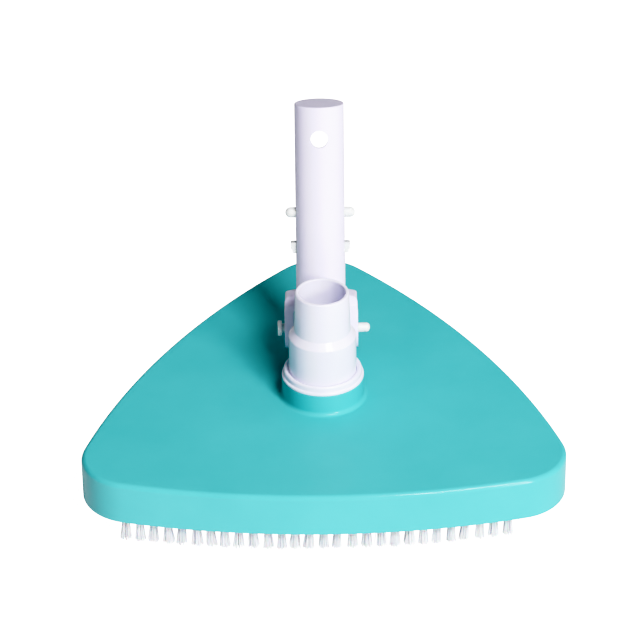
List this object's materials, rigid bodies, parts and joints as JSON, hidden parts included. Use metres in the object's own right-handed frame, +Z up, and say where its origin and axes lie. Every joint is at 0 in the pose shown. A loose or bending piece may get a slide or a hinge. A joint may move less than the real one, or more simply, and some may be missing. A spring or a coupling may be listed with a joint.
{
  "type": "pool brush vacuum head",
  "caption": "Triangular weighted pool vacuum head with brush rows under its edge, a swivelling stepped hose nozzle and a tilting handle tube with a spring clip for a pole.",
  "frame": {"origin": "middle of the footprint, at the level of the bristle tips", "axes": "+Z up out of the deck; +X to the right along the brush's front side; -Y towards the front side, +Y towards the rear corner"},
  "size_m": [0.269, 0.2538, 0.194],
  "materials": {
    "teal_shell": "satin moulded",
    "teal_plate": "moulded",
    "white_plastic": "satin moulded",
    "nylon": "natural, slightly translucent",
    "bristle": "fine filaments",
    "steel_screw": "stainless",
    "iron": "rough cast"
  },
  "bodies": {
    "head": {"top_shell": "teal_shell", "brush_plate": "teal_plate", "nozzle_retaining_ring": "white_plastic", "bristle_row_front": "bristle", "bristle_row_right": "bristle", "bristle_row_left": "bristle", "ballast_weight_right": "iron", "ballast_weight_rear": "iron", "ballast_weight_left": "iron", "plate_screw_front": "steel_screw", "plate_screw_right": "steel_screw", "plate_screw_left": "steel_screw", "plate_screw_right_corner": "steel_screw", "plate_screw_rear_corner": "steel_screw", "plate_screw_left_corner": "steel_screw"},
    "nozzle": {"hose_nozzle": "white_plastic"},
    "handle": {"handle": "white_plastic", "pivot_pin": "nylon", "clip_bend": "nylon"},
    "clip_left": {"clip_leg_left": "nylon"},
    "clip_right": {"clip_leg_right": "nylon"}
  },
  "joints": [
    {"name": "nozzle_swivel", "type": "hinge", "parent": "head", "child": "nozzle", "pos_m": [0, -0.02363, 0.0458], "axis": [0, 0, 1], "continuous": true},
    {"name": "handle_tilt", "type": "hinge", "parent": "head", "child": "handle", "pos_m": [-0.0005, 0.00438, 0.0646], "axis": [-1, 0, 0], "range_deg": [-8, 73]},
    {"name": "clip_left_press", "type": "hinge", "parent": "handle", "child": "clip_left", "pos_m": [-0.0094, 0.01295, 0.09335], "axis": [0, 0.9583, -0.2857], "range_deg": [0, 9], "stiffness_Nm_per_rad": 0.6},
    {"name": "clip_right_press", "type": "hinge", "parent": "handle", "child": "clip_right", "pos_m": [0.0084, 0.01295, 0.09335], "axis": [0, -0.9583, 0.2857], "range_deg": [0, 9], "stiffness_Nm_per_rad": 0.6}
  ]
}
